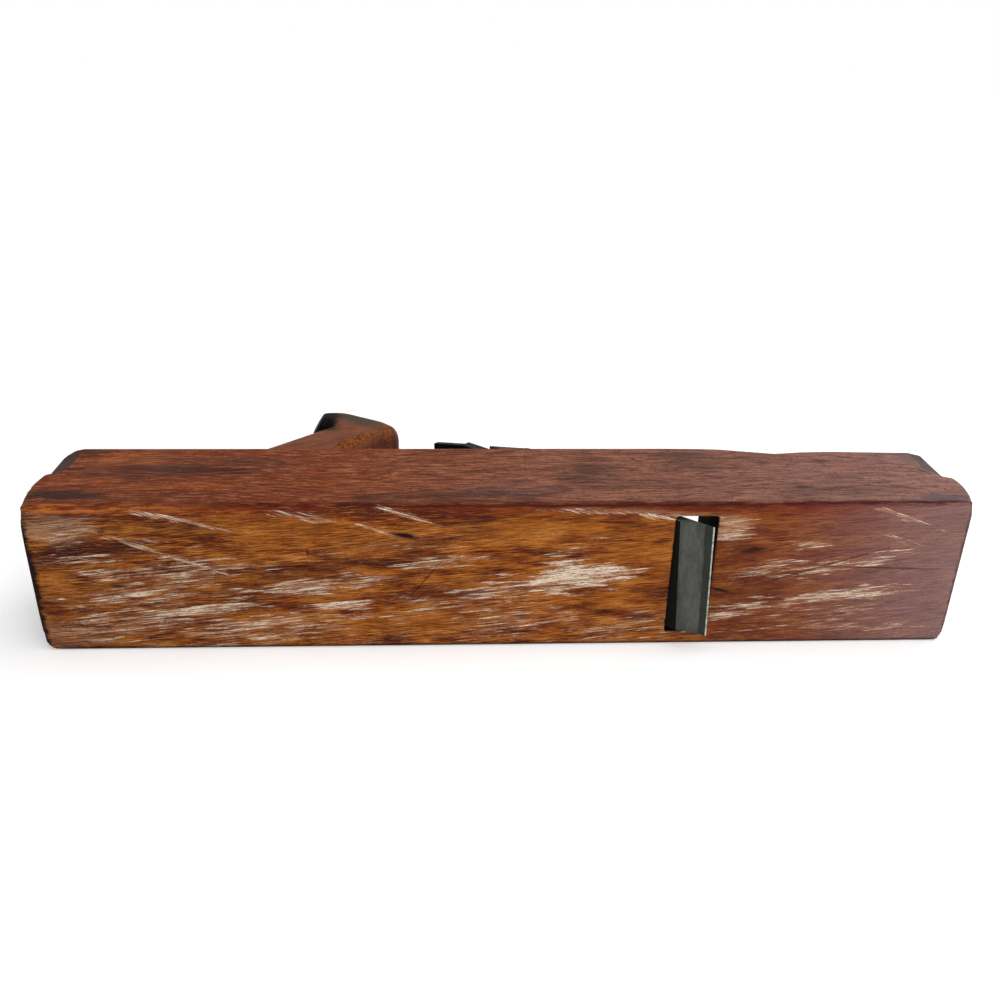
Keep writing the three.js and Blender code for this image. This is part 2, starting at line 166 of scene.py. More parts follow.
def keepInside(piece, node):
    # no point of the skin lies beyond the box of the node it stands for
    low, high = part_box(node)
    setPoints(piece, np.clip(pointsOf(piece), low, high))


def bevelEdges(piece, width, degrees):
    edge = piece.modifiers.new("edge", "BEVEL")
    edge.width = width
    edge.segments = 2
    edge.limit_method = "ANGLE"
    edge.angle_limit = math.radians(degrees)
    applyModifiers(piece)


def smoothShade(piece, degrees):
    makeActive(piece)
    bpy.ops.object.shade_smooth_by_angle(angle=math.radians(degrees))


def handOver(piece, body, node, material):
    piece.data.materials.append(material)
    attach(piece, body)
    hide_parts(node)


# small helpers for materials

def shade(red, green, blue):
    # a colour as it shows on a screen, each part 0 to 255
    def linear(level):
        level /= 255
        return level / 12.92 if level <= 0.04045 else ((level + 0.055) / 1.055) ** 2.4
    return linear(red), linear(green), linear(blue), 1.0


def put(tree, kind, **settings):
    node = tree.nodes.new(kind)
    for name, value in settings.items():
        setattr(node, name, value)
    return node


def feed(tree, socket, value):
    if isinstance(value, bpy.types.NodeSocket):
        tree.links.new(value, socket)
    elif value is not None:
        socket.default_value = value


def maths(tree, operation, first, second=None):
    node = put(tree, "ShaderNodeMath", operation=operation)
    feed(tree, node.inputs[0], first)
    feed(tree, node.inputs[1], second)
    return node.outputs[0]


def times(tree, first, *others):
    for other in others:
        first = maths(tree, "MULTIPLY", first, other)
    return first


def vectorMaths(tree, operation, first, second=None, output=0):
    node = put(tree, "ShaderNodeVectorMath", operation=operation)
    feed(tree, node.inputs[0], first)
    feed(tree, node.inputs[1], second)
    return node.outputs[output]


def blend(tree, factor, first, second):
    node = put(tree, "ShaderNodeMix", data_type="RGBA")
    feed(tree, node.inputs[0], factor)
    feed(tree, node.inputs[6], first)
    feed(tree, node.inputs[7], second)
    return node.outputs[2]


def between(tree, value, low, high, outLow=0.0, outHigh=1.0):
    node = put(tree, "ShaderNodeMapRange", interpolation_type="SMOOTHSTEP")
    feed(tree, node.inputs[0], value)
    feed(tree, node.inputs[1], low)
    feed(tree, node.inputs[2], high)
    feed(tree, node.inputs[3], outLow)
    feed(tree, node.inputs[4], outHigh)
    return node.outputs[0]


def noiseOn(tree, place, scale, detail=4.0, roughness=0.55, distortion=0.0):
    node = put(tree, "ShaderNodeTexNoise")
    feed(tree, node.inputs["Vector"], place)
    node.inputs["Scale"].default_value = scale
    node.inputs["Detail"].default_value = detail
    node.inputs["Roughness"].default_value = roughness
    node.inputs["Distortion"].default_value = distortion
    return node.outputs["Fac"]


def stretched(tree, place, stretch):
    return vectorMaths(tree, "MULTIPLY", place, stretch)


def turned(tree, place, angle):
    node = put(tree, "ShaderNodeVectorRotate", rotation_type="Z_AXIS")
    feed(tree, node.inputs["Vector"], place)
    feed(tree, node.inputs["Angle"], angle)
    return node.outputs[0]


def split(tree, vector):
    node = put(tree, "ShaderNodeSeparateXYZ")
    feed(tree, node.inputs[0], vector)
    return node.outputs


def joined(tree, x, y, z):
    node = put(tree, "ShaderNodeCombineXYZ")
    for socket, value in zip(node.inputs, (x, y, z)):
        feed(tree, socket, value)
    return node.outputs[0]


def colourRamp(tree, value, stops):
    node = put(tree, "ShaderNodeValToRGB")
    feed(tree, node.inputs[0], value)
    ramp = node.color_ramp
    while len(ramp.elements) < len(stops):
        ramp.elements.new(0.5)
    for element, (position, tint) in zip(ramp.elements, stops):
        element.position = position
        element.color = tint
    return node.outputs[0]


def newGroup(name, inputs, outputs):
    tree = bpy.data.node_groups.new(name, "ShaderNodeTree")
    for label, kind, value in inputs:
        socket = tree.interface.new_socket(label, in_out="INPUT", socket_type="NodeSocket" + kind)
        if value is not None:
            socket.default_value = value
    for label in outputs:
        tree.interface.new_socket(label, in_out="OUTPUT", socket_type="NodeSocketFloat")
    return tree, tree.nodes.new("NodeGroupInput").outputs, tree.nodes.new("NodeGroupOutput").inputs


def useGroup(tree, group, **values):
    node = put(tree, "ShaderNodeGroup", node_tree=group)
    for name, value in values.items():
        feed(tree, node.inputs[name], value)
    return node.outputs


def woodGrainGroup():
    # fine streaks along X, broad bands, short dark pores and an even grit
    tree, given, out = newGroup("woodGrain", (
        ("Place", "Vector", None), ("Length", "Float", 0.012), ("Width", "Float", 0.0004),
    ), ("Streak", "Band", "Pore", "Grit"))
    along = maths(tree, "DIVIDE", 1.0, given["Length"])
    across = maths(tree, "DIVIDE", 1.0, given["Width"])
    wander = noiseOn(tree, stretched(tree, given["Place"], (9, 30, 30)), 1.0, 2.0)
    wander = times(tree, maths(tree, "SUBTRACT", wander, 0.5), 0.008)
    moved = vectorMaths(tree, "ADD", given["Place"], joined(tree, 0.0, wander, wander))
    fine = vectorMaths(tree, "MULTIPLY", moved, joined(tree, along, across, across))
    feed(tree, out["Streak"], between(tree, noiseOn(tree, fine, 1.0, 5.0, 0.74), 0.34, 0.66))
    broad = vectorMaths(tree, "MULTIPLY", fine, (0.25, 0.16, 0.16))
    feed(tree, out["Band"], between(tree, noiseOn(tree, broad, 1.0, 4.0, 0.6), 0.36, 0.64))
    dash = vectorMaths(tree, "MULTIPLY", fine, (5.5, 1.1, 1.1))
    feed(tree, out["Pore"], between(tree, noiseOn(tree, dash, 1.0, 1.0, 0.5), 0.64, 0.72))
    grit = noiseOn(tree, stretched(tree, given["Place"], (900, 1800, 1800)), 1.0, 2.0, 0.6)
    feed(tree, out["Grit"], between(tree, grit, 0.3, 0.7))
    return tree


def patchGroup():
    # a soft-edged oval on a flat face, at a place, turned by a tilt
    tree, given, out = newGroup("patch", (
        ("Place", "Vector", None), ("Ragged", "Float", 0.0), ("Centre", "Vector", None),
        ("Size", "Vector", (0.01, 0.01, 1)), ("Tilt", "Float", 0.0), ("Strength", "Float", 1.0),
        ("Below", "Float", 0.0),
    ), ("Mask",))
    level = times(tree, given["Tilt"], -1.0)
    reach = turned(tree, vectorMaths(tree, "SUBTRACT", given["Place"], given["Centre"]), level)
    reach = vectorMaths(tree, "DIVIDE", reach, given["Size"])
    reach = maths(tree, "ADD", vectorMaths(tree, "LENGTH", reach, output=1), given["Ragged"])
    mask = times(tree, between(tree, reach, 1.45, 0.35), given["Strength"])
    feed(tree, out["Mask"], maths(tree, "MAXIMUM", mask, given["Below"]))
    return tree


def scuffGroup():
    # torn fibres on a flat face, leaning by a tilt: their dark and light mix, and where the cover
    # is high the bare strokes with cracks in them and the paler veil that lies round them
    tree, given, out = newGroup("scuff", (
        ("Place", "Vector", None), ("Tilt", "Float", 0.0), ("Cover", "Float", 0.0),
        ("Length", "Float", 0.014), ("Width", "Float", 0.0004),
    ), ("Fibre", "Stroke", "Veil", "Crack"))
    level = turned(tree, given["Place"], times(tree, given["Tilt"], -1.0))
    along = maths(tree, "DIVIDE", 1.0, given["Length"])
    across = maths(tree, "DIVIDE", 1.0, given["Width"])
    fine = vectorMaths(tree, "MULTIPLY", level, joined(tree, along, across, 1.0))
    mix = noiseOn(tree, vectorMaths(tree, "ADD", fine, (31, 47, 0)), 1.0, 5.0, 0.72, 0.3)
    feed(tree, out["Fibre"], between(tree, mix, 0.33, 0.67))
    field = noiseOn(tree, fine, 1.0, 5.0, 0.72, 0.4)
    broad = noiseOn(tree, vectorMaths(tree, "MULTIPLY", fine, (0.45, 0.3, 1.0)), 1.0, 3.0, 0.6)
    field = maths(tree, "ADD", times(tree, field, 0.62), times(tree, broad, 0.38))
    field = between(tree, field, 0.37, 0.63)
    crack = noiseOn(tree, vectorMaths(tree, "MULTIPLY", fine, (1.1, 0.5, 1.0)), 1.0, 4.0, 0.66, 0.8)
    crack = maths(tree, "ABSOLUTE", maths(tree, "SUBTRACT", crack, 0.5))
    crack = between(tree, crack, 0.028, 0.004)
    feed(tree, out["Crack"], crack)
    stroke = between(tree, maths(tree, "ADD", field, given["Cover"]), 1.1, 1.24)
    feed(tree, out["Stroke"], times(tree, stroke, maths(tree, "SUBTRACT", 1.0, crack)))
    veil = maths(tree, "ADD", times(tree, field, 0.85), times(tree, given["Cover"], 1.3))
    feed(tree, out["Veil"], between(tree, veil, 0.78, 1.14))
    return tree


woodGrain = woodGrainGroup()
patch = patchGroup()
scuff = scuffGroup()


def newMaterial(name):
    material = bpy.data.materials.new(name)
    material.use_nodes = True
    tree = material.node_tree
    return material, tree, tree.nodes["Principled BSDF"]


def tintsOf(values):
    return {name: shade(*value) for name, value in values.items()}


def patchesOn(tree, flat, ragged, rows):
    # rows of (x, y, half length, half height, tilt in degrees, strength), lengths in mm
    mask = 0.0
    for x, y, halfLength, halfHeight, tilt, strength in rows:
        mask = useGroup(
            tree, patch, Place=flat, Ragged=ragged, Centre=(x / 1000, y / 1000, 0),
            Size=(halfLength / 1000, halfHeight / 1000, 1), Tilt=math.radians(tilt),
            Strength=strength, Below=mask,
        )["Mask"]
    return mask


def bumpOn(tree, shader, height, strength, distance):
    node = put(tree, "ShaderNodeBump")
    node.inputs["Strength"].default_value = strength
    node.inputs["Distance"].default_value = distance
    feed(tree, node.inputs["Height"], height)
    feed(tree, shader.inputs["Normal"], node.outputs[0])


# the stock

stockLook = {
    "voxel": 0.0007,
    "smoothing": 1,
    "triangles": 185000,
    "arrisGain": 3500,
    "arrises": (
        {"start": (0, -0.034, 0.0762), "along": (1, 0, 0), "inward": (0, 1, -1), "reach": 0.002,
         "pitch": 160, "rest": 0.2, "depth": 0.0005},
        {"start": (0, -0.034, 0), "along": (1, 0, 0), "inward": (0, 1, 1), "reach": 0.0015,
         "pitch": 110, "rest": 0.3, "depth": 0.0003},
        {"start": (-0.215, -0.034, 0), "along": (0, 0, 1), "inward": (1, 1, 0), "reach": 0.004,
         "pitch": 130, "rest": 0.1, "depth": 0.0006},
        {"start": (0.215, -0.034, 0), "along": (0, 0, 1), "inward": (-1, 1, 0), "reach": 0.004,
         "pitch": 200, "rest": 0.2, "depth": 0.0006},
        {"start": (-0.215, 0, 0.0762), "along": (0, 1, 0), "inward": (1, 0, -1), "reach": 0.003,
         "pitch": 190, "rest": 0.15, "depth": 0.0006},
        {"start": (0.077, -0.034, 0.035), "along": (0, 0, 1), "inward": (-1, 1, 0), "reach": 0.0014,
         "pitch": 420, "rest": 0.05, "depth": 0.0006},
    ),
    "dents": (
        {"place": (-0.0467, -0.034, 0.060), "radius": 0.005, "stretch": (1.2, 1, 0.5),
         "depth": 0.0006, "inward": (0, 1, 0)},
        {"place": (0.114, -0.034, 0.0517), "radius": 0.004, "stretch": (1.2, 1, 0.5),
         "depth": 0.0005, "inward": (0, 1, 0)},
        {"place": (0.157, 0.0125, 0.0762), "radius": 0.005, "stretch": (1, 0.6, 1),
         "depth": 0.0004, "inward": (0, 0, -1)},
        {"place": (-0.19, 0.014, 0.0762), "radius": 0.006, "stretch": (1.4, 0.5, 1),
         "depth": 0.0005, "inward": (0, 0, -1)},
        {"place": (-0.120, 0.034, 0.012), "radius": 0.006, "stretch": (1, 1, 0.7),
         "depth": 0.0006, "inward": (0, -1, 0)},
        {"place": (0.15, 0.034, 0.05), "radius": 0.007, "stretch": (1.3, 1, 0.6),
         "depth": 0.0004, "inward": (0, -1, 0)},
    ),
    "swells": (
        {"place": (0.215, -0.014, 0.0762), "radius": 0.019,
         "depth": 0.0026, "inward": (1, 0, 0)},
        {"place": (-0.215, -0.014, 0.0762), "radius": 0.017,
         "depth": 0.0018, "inward": (-1, 0, 0)},
        {"place": (-0.215, -0.034, 0.0762), "radius": 0.009,
         "depth": 0.0005, "inward": (0.8, 0.8, -0.5)},
        {"place": (0.215, -0.034, 0.0762), "radius": 0.009,
         "depth": 0.0008, "inward": (-0.8, 0.8, -0.5)},
    ),
    "length": 0.43,
    "specular": 0.07,
    "bump": 0.5,
    "risingTilt": 6,  # degrees, of most torn fibres
    "fallingTilt": -18,  # and of the few that cross them
    # where each face and each line along its edges fades in, in metres
    "soleFace": (-0.0318, -0.0332),
    "deckFace": (0.030, 0.033),
    "endFaces": (0.204, 0.209),
    # the throat's grimy wood, painted near black as shade
    "throatGrimeAndShade": {
        "middle": (0.055, 0.0381), "x": (0.056, 0.054), "y": (0.0337, 0.0325), "z": (0.0328, 0.0322),
    },
    "arris": {"y": (-0.0295, -0.0337), "z": (0.0735, 0.0760)},
    # a painted orange highlight along the arris towards the heel
    "glow": {"x": (-0.11, -0.18), "y": (-0.0315, -0.0335), "z": (0.0705, 0.0735)},
    "corner": {"x": (0.198, 0.204), "y": (-0.004, 0.004)},
    # painted shade along the heel and toe edges of the sole, and a painted contact shadow along its bottom
    # edge
    "heelEdge": (-0.2122, -0.2148),
    "toeEdge": (0.2128, 0.2150),
    "lowerEdge": (0.0026, 0.0008),
    # a painted sheen that washes the sole paler towards the toe
    "toeSheen": (0.12, 0.216),
    # how strong each kind of mark is
    "strength": {
        "orange": 0.8, "band": 0.28, "streakDark": 0.68, "streakPale": 0.6, "pore": 0.8, "smudge": 0.88,
        "worn": 0.6, "grime": 0.8, "amber": 0.55, "maroon": 0.9, "veil": 0.6, "stroke": 0.9, "crack": 0.55,
        "glow": 0.75, "corner": 0.85, "grit": 0.22,
    },
    "tints": {
        "cheekLeft": (120, 52, 14), "cheekInner": (128, 60, 24), "cheekMiddle": (132, 82, 62),
        "cheekRightToneAndSheen": (140, 98, 88), "cheekDark": (50, 18, 12), "cheekSmudge": (40, 26, 24),
        "cheekBlue": (84, 72, 80), "cheekPale": (176, 116, 86), "cheekOrange": (164, 84, 36),
        "fibreDark": (42, 12, 10), "fibreRusset": (98, 36, 10), "fibreBrown": (152, 78, 22),
        "fibreAmber": (184, 110, 34), "fibrePale": (214, 156, 92), "soleAmber": (186, 112, 36),
        "soleMaroon": (58, 18, 20), "soleRust": (128, 46, 18), "soleRight": (116, 58, 44),
        "soleSheen": (150, 122, 122), "soleVeil": (192, 144, 118), "soleBare": (194, 150, 116),
        "soleCream": (244, 230, 204), "soleSmudge": (26, 14, 12), "edgeShade": (30, 16, 13),
        "arrisMaroon": (62, 16, 12), "arrisHighlight": (206, 118, 56), "endWood": (92, 52, 36),
        "endDark": (44, 26, 20), "throatGrimeAndShade": (13, 8, 6), "chamfer": (52, 40, 36),
        "deck": (122, 70, 42), "deckWorn": (168, 112, 74),
    },
    # rows of (x, z or y, half length, half height, tilt in degrees, strength), in mm
    "soleMarks": {
        "rising": (
            (30, 38, 26, 8.5, 3, 0.82), (0, 33, 26, 3.4, 6, 0.5), (54, 40, 15, 3, 2, 0.44),
            (29, 52.5, 15, 3.2, 14, 0.4), (-34, 45.4, 22, 4, 8, 0.42),
            (-75, 23.5, 17, 3.6, 7, 0.52), (-71, 36, 24, 4, 6, 0.44),
            (-141, 21.5, 29, 3.2, 7, 0.62), (-172, 16, 38, 11, 8, 0.4),
            (-181, 41, 15, 3.2, 0, 0.5), (-100, 32.5, 32, 4.4, 7, 0.5), (-150, 42, 42, 9, 3, 0.36),
            (-170, 31, 36, 6, 6, 0.44), (-110, 12, 48, 9, 8, 0.42), (-196, 62, 14, 7, 3, 0.36),
            (-190, 49, 22, 3.2, 4, 0.4), (2, 14, 38, 9, 5, 0.32), (60, 12, 38, 8, 4, 0.3),
            (104.5, 62.5, 11, 8, -4, 0.34), (141, 54.5, 11, 2.2, 5, 0.48),
            (124, 42, 17, 4.6, 10, 0.42), (158, 43.3, 36, 4.2, 12, 0.46),
            (152, 26, 44, 3.4, 6, 0.58), (104, 16.7, 17, 3.2, 8, 0.42),
            (162, 9.4, 44, 2.6, -1, 0.38), (-20, 24, 40, 7, 6, 0.34), (150, 18, 44, 9, 4, 0.26),
            (0, 4, 210, 5, 0, 0.2), (-50, 55, 60, 5, 4, 0.2),
        ),
        "falling": (
            (-157, 52, 30, 1.2, -22, 0.5), (-149, 69, 26, 1.4, -13, 0.48),
            (-46, 70.5, 18, 1.7, -20, 0.5), (-93, 70, 22, 1.9, -10, 0.44),
            (184, 68.3, 20, 1.6, -19, 0.48), (62, 70.5, 38, 1.5, -3, 0.46),
            (-58, 63, 12, 1.2, -16, 0.46), (186, 56, 14, 1.5, -16, 0.38),
            (-172, 59, 14, 1.2, -6, 0.46),
        ),
        "maroon": (
            (-60, 74.5, 70, 4.2, 0, 1), (-33, 71.5, 24, 5, -8, 1), (-193, 53, 28, 4, 2, 1),
            (-204, 48, 14, 3.6, 0, 0.9), (-76, 46, 34, 3.8, 4, 0.6), (-190, 72, 36, 3, 0, 0.7),
            (70, 74.5, 84, 3.2, 0, 0.9), (-120, 30, 26, 4, 4, 0.55), (-100, 39, 24, 2.8, -2, 0.6),
            (-150, 66, 20, 3.4, -8, 0.5), (-30, 30, 24, 4.4, 6, 0.4), (110, 30, 20, 14, 0, 0.3),
        ),
        "amber": (
            (-205, 35, 11, 8, 0, 0.9), (-40, 14, 52, 6, 2, 0.7), (-104, 64, 38, 7, 0, 0.8),
            (20, 64, 44, 8, 0, 0.6), (-70, 56, 30, 6, 0, 0.55), (66, 50, 22, 16, 0, 0.45),
            (-185, 30, 24, 7, 0, 0.3), (104, 70, 26, 5, 0, 0.5), (50, 26, 30, 6, 0, 0.4),
        ),
        "haze": (
            (-203, 64, 18, 7, 0, 0.7), (-206, 8, 16, 8, 0, 0.35), (101, 66.4, 10, 3, -9, 1),
            (99, 60, 8, 3.4, -4, 1), (62, 71.5, 34, 1.6, -3, 0.5),
        ),
        "dark": (
            (-46.7, 60, 6.4, 1.4, -12, 1), (114, 51.7, 5.4, 1.1, 7, 0.8),
            (101, 30.2, 5.4, 0.9, -16, 0.9), (146, 42, 32, 0.5, 18, 0.7),
            (170, 42, 36, 0.5, -2, 0.6), (-38, 37, 11, 0.35, 52, 0.7), (-91, 52, 0.8, 2.4, 0, 0.7),
            (-178, 35, 5, 0.8, -6, 0.8), (36, 75, 90, 0.5, 0, 0.6),
        ),
    },
    "cheekMarks": {
        "smudge": (
            (-201, -24, 20, 5, 0, 1), (-24, -25, 38, 5, 0, 0.6), (40, -2, 18, 14, 20, 0.5),
            (90, 12, 16, 12, 0, 0.5), (150, -20, 36, 8, 0, 0.42), (-156, 3, 38, 8, 0, 0.75),
            (157, 12.5, 6, 2.4, 0, 0.8), (70, -14, 32, 6, 0, 0.3), (-120, 12, 26, 6, 0, 0.5),
            (-205, 27, 14, 8, 0, 0.7), (-206, 4.4, 8, 0.9, 6, 1),
        ),
        "blue": (
            (204, -29, 16, 4, 0, 0.8), (204, 24, 14, 11, 0, 0.4), (10, -20, 32, 9, 0, 0.2),
        ),
        "orange": (
            (-182, 14, 28, 10, 0, 1), (-150, -14, 44, 5, 0, 0.7), (-190, -10, 24, 5, 0, 0.6),
        ),
        "line": (
            (-93, -10, 7, 0.3, -48, 0.6), (10.5, 12, 14, 0.3, 86, 0.4),
            (-20, -8, 26, 0.25, 0, 0.35), (60, 22, 30, 0.25, 1, 0.35),
            (-110, 24, 34, 0.3, 1, 0.35), (206.5, -0.9, 5, 0.8, -33, 0.9),
        ),
    },
    "deckMarks": {
        "grime": (
            (-178, 44, 12, 22, 0, 0.7), (-112, 24, 66, 5, 0, 0.8), (-112, 65, 60, 4, 0, 0.7),
            (104, 38, 9, 36, 0, 0.8), (40, 6, 66, 4, 0, 0.7), (40, 71, 66, 3, 0, 0.7),
            (-30, 30, 20, 9, 10, 0.4),
        ),
        "worn": (
            (150, 34, 34, 12, 4, 0.6), (180, 56, 22, 8, -6, 0.5), (-200, 30, 12, 14, 0, 0.5),
            (-12, 52, 22, 10, 0, 0.55), (-40, 12, 34, 6, 0, 0.5),
        ),
        "line": (
            (140, 50, 24, 0.35, 14, 0.6), (168, 22, 18, 0.3, -32, 0.5),
            (-22, 40, 14, 0.3, 48, 0.5), (-196, 54, 12, 0.4, -20, 0.5), (130, 15, 20, 0.3, 4, 0.5),
        ),
    },
}


def deckTone(tree, look, on, tint, tone):
    marks, strength = look["deckMarks"], look["strength"]
    tone = blend(tree, 0.5, tone, tint["deck"])
    worn = patchesOn(tree, on["sole"], on["ragged"], marks["worn"])
    tone = blend(tree, times(tree, worn, strength["worn"]), tone, tint["deckWorn"])
    grime = patchesOn(tree, on["sole"], times(tree, on["ragged"], 0.7), marks["grime"])
    tone = blend(tree, times(tree, grime, strength["grime"]), tone, tint["cheekSmudge"])
    line = patchesOn(tree, on["sole"], times(tree, on["ragged"], 0.3), marks["line"])
    return blend(tree, line, tone, tint["cheekDark"])


def cheekTone(tree, look, on, tint):
    marks, strength = look["cheekMarks"], look["strength"]
    run = maths(tree, "ADD", maths(tree, "DIVIDE", on["x"], look["length"]), 0.5)
    # the wood runs from orange at the heel to a pale pinkish grey at the toe, partly its own tone and
    # partly a painted sheen
    tone = colourRamp(tree, run, (
        (0.0, tint["cheekLeft"]), (0.14, tint["cheekLeft"]), (0.32, tint["cheekInner"]),
        (0.56, tint["cheekMiddle"]), (1.0, tint["cheekRightToneAndSheen"]),
    ))
    orange = patchesOn(tree, on["cheek"], on["ragged"], marks["orange"])
    tone = blend(tree, times(tree, orange, strength["orange"]), tone, tint["cheekOrange"])
    band = times(tree, between(tree, on["band"], 0.6, 0.0), strength["band"])
    tone = blend(tree, band, tone, tint["cheekDark"])
    streak = times(tree, between(tree, on["streak"], 0.55, 0.0), strength["streakDark"])
    tone = blend(tree, streak, tone, tint["cheekDark"])
    streak = times(tree, between(tree, on["streak"], 0.6, 1.0), strength["streakPale"])
    tone = blend(tree, streak, tone, tint["cheekPale"])
    tone = blend(tree, times(tree, on["pore"], strength["pore"]), tone, tint["cheekDark"])
    smudge = patchesOn(tree, on["cheek"], on["ragged"], marks["smudge"])
    smudge = maths(tree, "MAXIMUM", smudge, between(tree, on["cloud"], 0.6, 0.8, 0.0, 0.35))
    tone = blend(tree, times(tree, smudge, strength["smudge"]), tone, tint["cheekSmudge"])
    blue = patchesOn(tree, on["cheek"], on["ragged"], marks["blue"])
    tone = blend(tree, blue, tone, tint["cheekBlue"])
    line = patchesOn(tree, on["cheek"], times(tree, on["ragged"], 0.3), marks["line"])
    return blend(tree, line, tone, tint["cheekDark"])


def soleTone(tree, look, on, tint, torn, dark):
    marks, strength = look["soleMarks"], look["strength"]
    depth = maths(tree, "ADD", times(tree, torn["fibre"], 0.56), times(tree, on["broadCloud"], 0.44))
    tone = colourRamp(tree, depth, (
        (0.14, tint["fibreDark"]), (0.36, tint["fibreRusset"]), (0.55, tint["fibreBrown"]),
        (0.76, tint["fibreAmber"]), (1.0, tint["fibrePale"]),
    ))
    tone = blend(tree, between(tree, on["x"], 0.05, 0.14, 0.0, 0.62), tone, tint["soleRight"])
    tone = blend(tree, between(tree, on["x"], -0.09, -0.19, 0.0, 0.22), tone, tint["fibreDark"])
    amber = patchesOn(tree, on["sole"], on["ragged"], marks["amber"])
    tone = blend(tree, times(tree, amber, strength["amber"]), tone, tint["soleAmber"])
    maroon = patchesOn(tree, on["sole"], on["ragged"], marks["maroon"])
    tone = blend(tree, times(tree, maroon, strength["maroon"]), tone, tint["soleMaroon"])
    upper = maths(tree, "ADD", on["z"], times(tree, on["ragged"], 0.003))
    upper = between(tree, upper, 0.066, 0.0745)
    upper = times(tree, upper, between(tree, on["cloud"], 0.35, 0.6, 0.35, 0.8))
    tone = blend(tree, upper, tone, tint["soleRust"])
    deep = between(tree, on["x"], -0.06, -0.2, 0.66, 0.95)
    deep = times(tree, between(tree, torn["fibre"], 0.45, 0.05), deep)
    tone = blend(tree, deep, tone, tint["fibreDark"])
    heelward = between(tree, on["x"], 0.1, -0.16, 0.25, 0.62)
    thread = times(tree, between(tree, on["streak"], 0.34, 0.02), heelward)
    tone = blend(tree, thread, tone, tint["fibreDark"])
    thread = times(tree, heelward, between(tree, on["streak"], 0.74, 0.98), 0.7)
    tone = blend(tree, thread, tone, tint["fibrePale"])
    haze = patchesOn(tree, on["sole"], times(tree, on["ragged"], 0.6), marks["haze"])
    haze = times(tree, haze, between(tree, torn["fibre"], 0.2, 0.75, 0.2, 0.95))
    tone = blend(tree, haze, tone, tint["soleBare"])
    # painted sheen: the sole is washed a pale pinkish grey towards the toe
    toeSheenMask = maths(tree, "ADD", on["x"], times(tree, on["ragged"], 0.006))
    toeSheenMask = between(tree, toeSheenMask, *look["toeSheen"], 0.0, 0.78)
    toeSheenMask = times(tree, toeSheenMask, between(tree, torn["fibre"], 0.0, 1.0, 0.5, 1.0))
    tone = blend(tree, toeSheenMask, tone, tint["soleSheen"])
    tone = blend(tree, times(tree, torn["veil"], strength["veil"]), tone, tint["soleVeil"])
    tone = blend(tree, times(tree, torn["stroke"], strength["stroke"]), tone, tint["soleCream"])
    tone = blend(tree, times(tree, torn["crack"], strength["crack"]), tone, tint["fibreDark"])
    tone = blend(tree, dark, tone, tint["soleSmudge"])
    # painted shade along the heel and toe edges, and a painted contact shadow along the bottom edge
    heel = maths(tree, "ADD", on["x"], times(tree, on["ragged"], 0.0022))
    edgeShade = between(tree, heel, *look["heelEdge"])
    edgeShade = times(tree, edgeShade, between(tree, on["z"], 0.072, 0.062, 0.4, 1.0))
    lower = between(tree, on["z"], *look["lowerEdge"], 0.0, 0.8)
    edgeShade = maths(tree, "MAXIMUM", edgeShade, lower)
    toe = maths(tree, "SUBTRACT", on["x"], times(tree, on["ragged"], 0.0014))
    edgeShade = maths(tree, "MAXIMUM", edgeShade, between(tree, toe, *look["toeEdge"], 0.0, 0.75))
    return blend(tree, edgeShade, tone, tint["edgeShade"])


def endTone(tree, on, tint):
    heart = vectorMaths(tree, "ADD", on["place"], (0, 0.09, -0.02))
    rings = put(tree, "ShaderNodeTexWave", wave_type="RINGS", rings_direction="X")
    feed(tree, rings.inputs["Vector"], heart)
    for name, value in (("Scale", 130), ("Distortion", 2.5), ("Detail", 3), ("Detail Scale", 1.5)):
        rings.inputs[name].default_value = value
    tone = blend(tree, times(tree, rings.outputs["Fac"], 0.6), tint["endWood"], tint["endDark"])
    speck = between(tree, noiseOn(tree, on["place"], 1600, 2.0), 0.55, 0.68)
    tone = blend(tree, times(tree, speck, 0.5), tone, tint["endDark"])
    return blend(tree, between(tree, on["cloud"], 0.5, 0.75, 0.0, 0.6), tone, tint["endDark"])


def tornFibres(tree, look, on):
    def leaning(way):
        cover = patchesOn(tree, on["sole"], on["ragged"], look["soleMarks"][way])
        tilt = math.radians(look[way + "Tilt"])
        return useGroup(tree, scuff, Place=on["sole"], Tilt=tilt, Cover=cover)

    rising, falling = leaning("rising"), leaning("falling")
    return {
        "fibre": rising["Fibre"],
        "stroke": maths(tree, "MAXIMUM", rising["Stroke"], falling["Stroke"]),
        "veil": maths(tree, "MAXIMUM", rising["Veil"], falling["Veil"]),
        "crack": times(tree, rising["Crack"], between(tree, rising["Veil"], 0.1, 0.6, 0.3, 1.0)),
    }


def arrisTone(tree, look, on, tint, tone):
    def along(name):
        limits = look[name]
        return times(tree, between(tree, on["y"], *limits["y"]), between(tree, on["z"], *limits["z"]))

    line = along("arris")
    fleck = noiseOn(tree, stretched(tree, on["place"], (70, 500, 500)), 1.0, 4.0, 0.6)
    line = times(tree, line, between(tree, fleck, 0.36, 0.6, 0.2, 1.0))
    tone = blend(tree, line, tone, tint["arrisMaroon"])
    # painted highlight: an orange glint along the arris towards the heel
    glow = times(tree, along("glow"), between(tree, on["x"], *look["glow"]["x"]),
                 between(tree, fleck, 0.4, 0.62), look["strength"]["glow"])
    tone = blend(tree, glow, tone, tint["arrisHighlight"])
    lean = maths(tree, "ABSOLUTE", on["nx"])
    corner = times(tree, between(tree, lean, 0.1, 0.22), between(tree, lean, 0.96, 0.9),
                   between(tree, maths(tree, "ABSOLUTE", on["x"]), *look["corner"]["x"]),
                   between(tree, on["y"], *look["corner"]["y"]), look["strength"]["corner"])
    tone = blend(tree, corner, tone, tint["chamfer"])
    arris = put(tree, "ShaderNodeAttribute", attribute_name="arris").outputs["Fac"]
    worn = times(tree, between(tree, arris, 0.12, 0.5),
                 between(tree, on["cloud"], 0.35, 0.65, 0.15, 0.55))
    return blend(tree, worn, tone, tint["arrisMaroon"])


